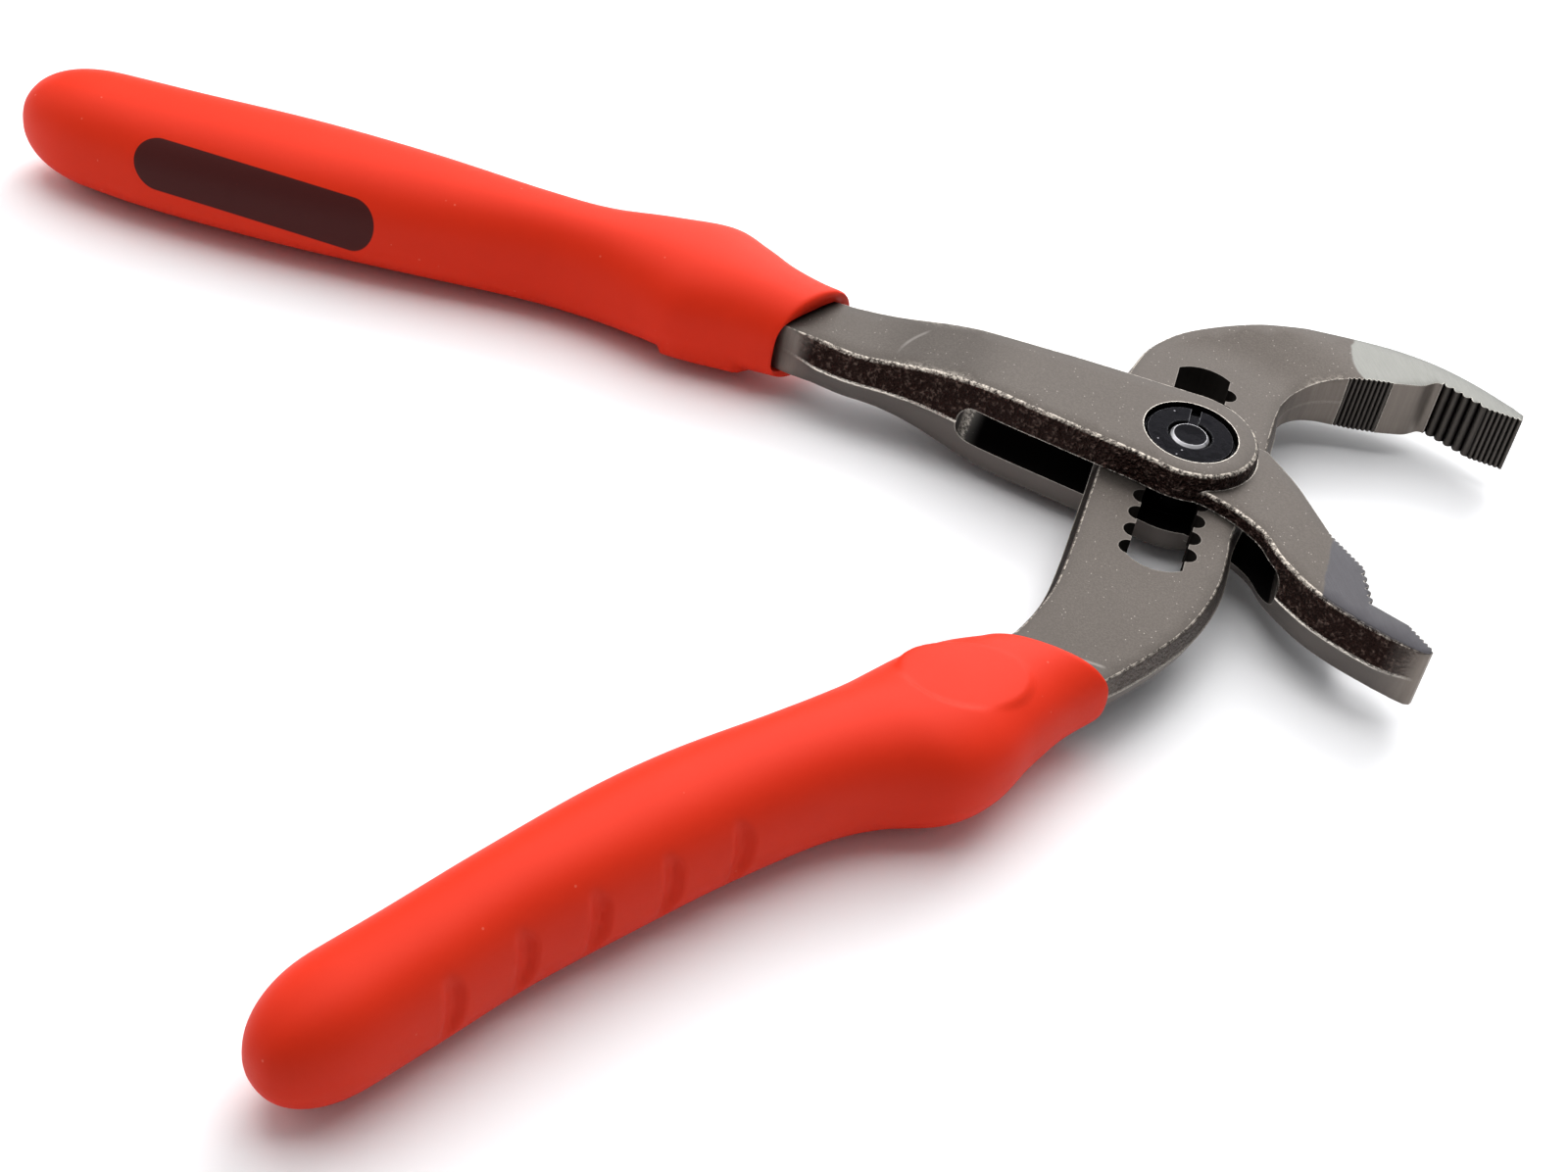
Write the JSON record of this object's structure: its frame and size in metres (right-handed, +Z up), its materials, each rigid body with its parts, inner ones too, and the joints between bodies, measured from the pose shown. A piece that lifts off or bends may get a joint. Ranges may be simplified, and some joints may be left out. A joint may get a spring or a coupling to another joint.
{
  "type": "tongue and groove pliers",
  "caption": "Box-joint tongue and groove pliers with bent toothed jaws, a rack slot, a turning toothed barrel and orange plastic grips.",
  "frame": {"origin": "middle of the underside of the whole box, with the pliers lying flat and the jaws wide open", "axes": "+X from the outer grip towards the jaws, +Y towards the upper jaw, +Z up along the pivot axis, through the thickness"},
  "size_m": [0.249, 0.2076, 0.0192],
  "materials": {
    "forged_steel": "satin forged steel, dark rough flanks and bright edges",
    "black_oxide": "black oxide",
    "turned_steel": "black oxide with a bright turned chamfer",
    "grip_plastic": "matte orange-red vinyl"
  },
  "bodies": {
    "outer_lever": {"outer_lever": "forged_steel", "outer_grip": "grip_plastic"},
    "pivot": {"pivot_pin": "turned_steel"},
    "barrel": {"toothed_barrel": "black_oxide", "front_disc": "black_oxide", "rear_disc": "black_oxide"},
    "inner_lever": {"inner_lever": "forged_steel", "inner_grip": "grip_plastic"}
  },
  "joints": [
    {"name": "jaw_hinge", "type": "hinge", "parent": "outer_lever", "child": "pivot", "pos_m": [0.073, 0.05949, 0.0096], "axis": [0, 0, -1], "range_deg": [-3, 44]},
    {"name": "barrel_turn", "type": "hinge", "parent": "pivot", "child": "barrel", "pos_m": [0.073, 0.05949, 0.0096], "axis": [0, 0, 1], "range_deg": [0, 20]},
    {"name": "size_slide", "type": "slide", "parent": "pivot", "child": "inner_lever", "axis": [0, 1, 0], "range_m": [-0.0086, 0.0172]}
  ]
}
